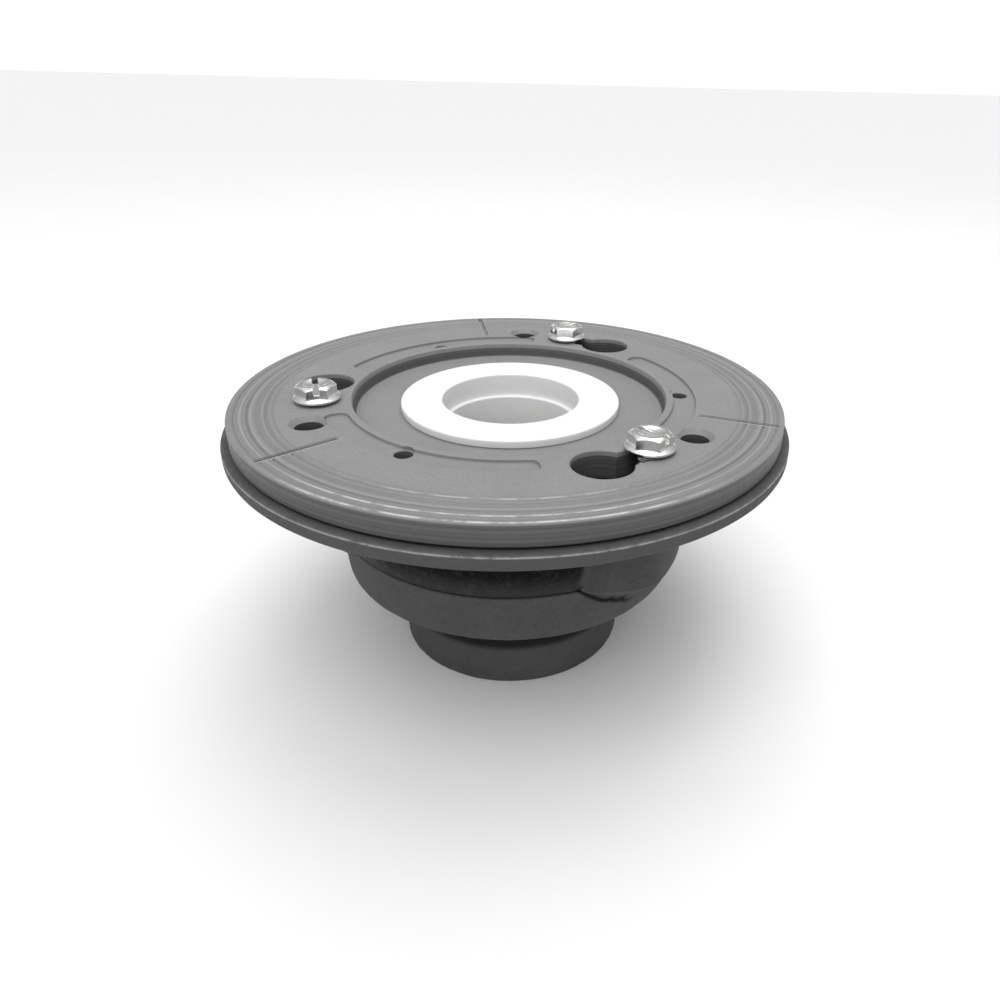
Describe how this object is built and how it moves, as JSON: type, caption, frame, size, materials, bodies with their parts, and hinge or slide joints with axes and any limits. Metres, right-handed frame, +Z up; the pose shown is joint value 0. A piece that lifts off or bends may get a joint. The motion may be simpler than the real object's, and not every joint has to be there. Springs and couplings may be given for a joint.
{
  "type": "floor drain",
  "caption": "Cast floor drain: flange with bowl and outlet hub, a slotted clamping ring held by hex washer bolts, and a flanged plastic throat.",
  "frame": {"origin": "centre of the outlet hub's bottom face, on the drain's axis", "axes": "+Z up along the drain's axis, from the outlet towards the strainer recess"},
  "size_m": [0.196, 0.196, 0.1045],
  "materials": {
    "body_iron": "painted sand casting",
    "ring_iron": "painted casting with fine turning lines",
    "zinc_steel": "bright zinc plate",
    "white_plastic": "satin moulded",
    "black_rubber": "moulded",
    "nut_brass": "cast and turned"
  },
  "bodies": {
    "drain_body": {"drain_flange": "body_iron", "drain_bowl": "body_iron", "outlet_hub": "body_iron", "outlet_gasket": "black_rubber"},
    "clamping_ring": {"clamping_ring": "ring_iron", "ring_collar": "ring_iron"},
    "clamp_bolt_left": {"clamp_bolt_left": "zinc_steel"},
    "clamp_bolt_front": {"clamp_bolt_front": "zinc_steel"},
    "clamp_bolt_back": {"clamp_bolt_back": "zinc_steel"},
    "strainer_throat": {"strainer_throat": "white_plastic"},
    "compression_nut": {"compression_nut": "nut_brass"}
  },
  "joints": [
    {"name": "ring_turn", "type": "hinge", "parent": "drain_body", "child": "clamping_ring", "pos_m": [0, 0, 0.089], "axis": [0, 0, 1], "range_deg": [0, 15.5]},
    {"name": "bolt_left_screw", "type": "slide", "parent": "drain_body", "child": "clamp_bolt_left", "axis": [0, 0, 1], "range_m": [-0.0007, 0.024]},
    {"name": "bolt_front_screw", "type": "slide", "parent": "drain_body", "child": "clamp_bolt_front", "axis": [0, 0, 1], "range_m": [-0.0007, 0.024]},
    {"name": "bolt_back_screw", "type": "slide", "parent": "drain_body", "child": "clamp_bolt_back", "axis": [0, 0, 1], "range_m": [-0.0007, 0.024]},
    {"name": "throat_screw", "type": "slide", "parent": "clamping_ring", "child": "strainer_throat", "axis": [0, 0, 1], "range_m": [0, 0.01]},
    {"name": "nut_screw", "type": "slide", "parent": "drain_body", "child": "compression_nut", "axis": [0, 0, 1], "range_m": [0, 0.009]}
  ]
}
